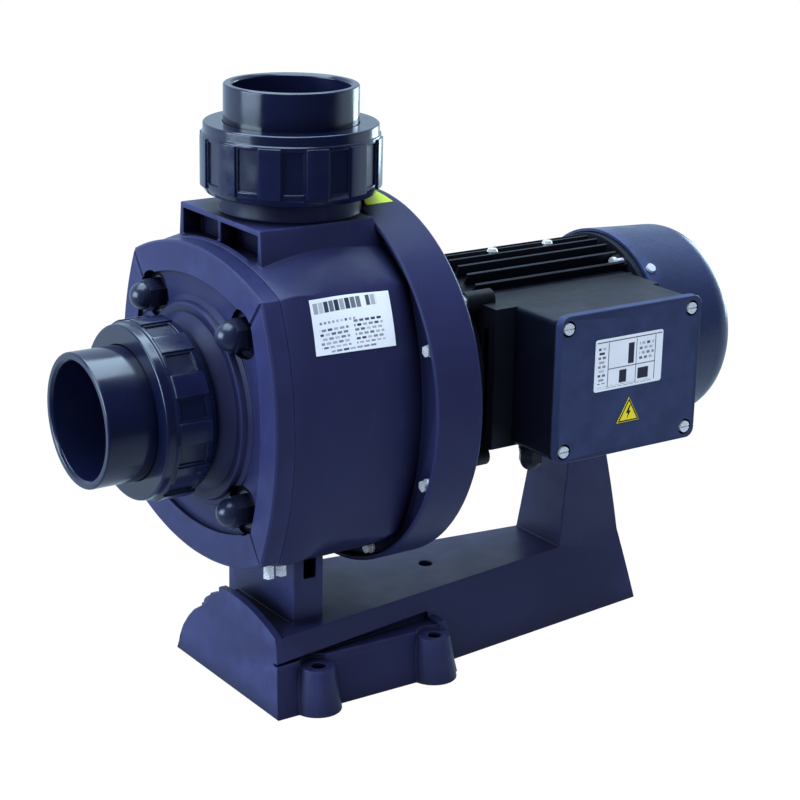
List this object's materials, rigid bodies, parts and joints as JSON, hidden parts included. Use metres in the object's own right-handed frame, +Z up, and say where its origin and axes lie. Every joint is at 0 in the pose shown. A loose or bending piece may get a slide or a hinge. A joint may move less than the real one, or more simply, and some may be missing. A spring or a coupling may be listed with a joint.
{
  "type": "pool pump",
  "caption": "Floor-standing pool circulation pump: flat-sided plastic casing with threaded pipe unions, fan-cooled electric motor with a terminal box, moulded stand.",
  "frame": {"origin": "on the floor, under the shaft, at the centre of the four foot holes", "axes": "+X along the shaft from the suction pipe towards the motor's fan, +Z up along the discharge pipe, -Y towards the terminal box"},
  "size_m": [0.59, 0.3006, 0.4836],
  "materials": {
    "pump_plastic": "moulded, faint sheen",
    "union_plastic": "smooth moulded, glossy",
    "stand_plastic": "moulded, satin",
    "motor_paint": "cast aluminium, satin black paint",
    "fan_cover_paint": "sheet steel, dark navy paint",
    "box_plastic": "moulded, slate, satin",
    "gland_plastic": "black nylon",
    "impeller_plastic": "glass-filled moulding",
    "fan_plastic": "moulded",
    "board_plastic": "thermoset moulding",
    "rubber": "moulded elastomer",
    "ceramic": "lapped",
    "carbon": "lapped carbon",
    "stainless": "turned stainless steel",
    "screw_steel": "bright zinc plate",
    "cap_nut_plastic": "moulded cap over a steel nut",
    "bearing_steel": "ground bearing steel",
    "lamination": "stacked electrical sheet",
    "copper": "enamelled winding wire",
    "brass": "turned",
    "label_white": "printed film",
    "label_yellow": "printed film",
    "label_green": "printed film"
  },
  "bodies": {
    "pump": {"arrow_sticker": "label_green", "base_stand": "stand_plastic", "bearing_outer_races": "bearing_steel", "bracket_bolts": "screw_steel", "cable_gland": "gland_plastic", "cable_gland_cap": "gland_plastic", "casing": "pump_plastic", "casing_plugs": "screw_steel", "cover_cap_nuts": "cap_nut_plastic", "cover_o_ring": "rubber", "cover_studs": "stainless", "discharge_o_ring": "rubber", "fan_cover": "fan_cover_paint", "fan_cover_screws": "screw_steel", "frame_plugs": "screw_steel", "front_cover": "pump_plastic", "front_shield": "motor_paint", "housing_o_ring": "rubber", "housing_screws": "screw_steel", "inlet_cone": "impeller_plastic", "lid_gasket": "rubber", "lid_screws": "screw_steel", "motor_foot_bolts": "screw_steel", "motor_frame": "motor_paint", "motor_label": "label_white", "motor_pad": "rubber", "rating_label": "label_white", "rear_shield": "motor_paint", "rear_shield_screws": "screw_steel", "seal_cup": "rubber", "seal_housing": "pump_plastic", "seal_seat": "ceramic", "shield_screws": "screw_steel", "stator_core": "lamination", "suction_o_ring": "rubber", "terminal_board": "board_plastic", "terminal_box": "box_plastic", "terminal_box_screws": "screw_steel", "terminal_hardware": "brass", "terminal_lid": "box_plastic", "warning_label": "label_yellow", "wave_washer": "bearing_steel", "wear_ring": "stainless", "windings": "copper"},
    "rotor": {"shaft": "stainless", "impeller": "impeller_plastic", "impeller_key": "stainless", "impeller_nut": "brass", "seal_head": "carbon", "seal_spring": "stainless", "slinger": "rubber", "rotor_core": "lamination", "bearing_inner_races": "bearing_steel", "bearing_balls": "bearing_steel", "cooling_fan": "fan_plastic", "fan_circlip": "screw_steel"},
    "suction_tail": {"suction_tail": "union_plastic"},
    "suction_nut": {"suction_nut": "union_plastic"},
    "discharge_tail": {"discharge_tail": "union_plastic"},
    "discharge_nut": {"discharge_nut": "union_plastic"}
  },
  "joints": [
    {"name": "shaft_spin", "type": "hinge", "parent": "pump", "child": "rotor", "pos_m": [0, 0, 0.245], "axis": [1, 0, 0], "continuous": true},
    {"name": "suction_union_slide", "type": "slide", "parent": "pump", "child": "suction_tail", "axis": [-1, 0, 0], "range_m": [0, 0.01801]},
    {"name": "suction_nut_turn", "type": "hinge", "parent": "suction_tail", "child": "suction_nut", "pos_m": [-0.16, 0, 0.245], "axis": [-1, 0, 0], "range_deg": [0, 1080]},
    {"name": "discharge_union_slide", "type": "slide", "parent": "pump", "child": "discharge_tail", "axis": [0, 0, 1], "range_m": [0, 0.01801]},
    {"name": "discharge_nut_turn", "type": "hinge", "parent": "discharge_tail", "child": "discharge_nut", "pos_m": [-0.0354, 0, 0.42], "axis": [0, 0, 1], "range_deg": [0, 1080]}
  ],
  "couplings": [
    {"joint": "suction_union_slide", "follows": "suction_nut_turn", "m_per_rad": 0.00095493},
    {"joint": "discharge_union_slide", "follows": "discharge_nut_turn", "m_per_rad": 0.00095493}
  ]
}
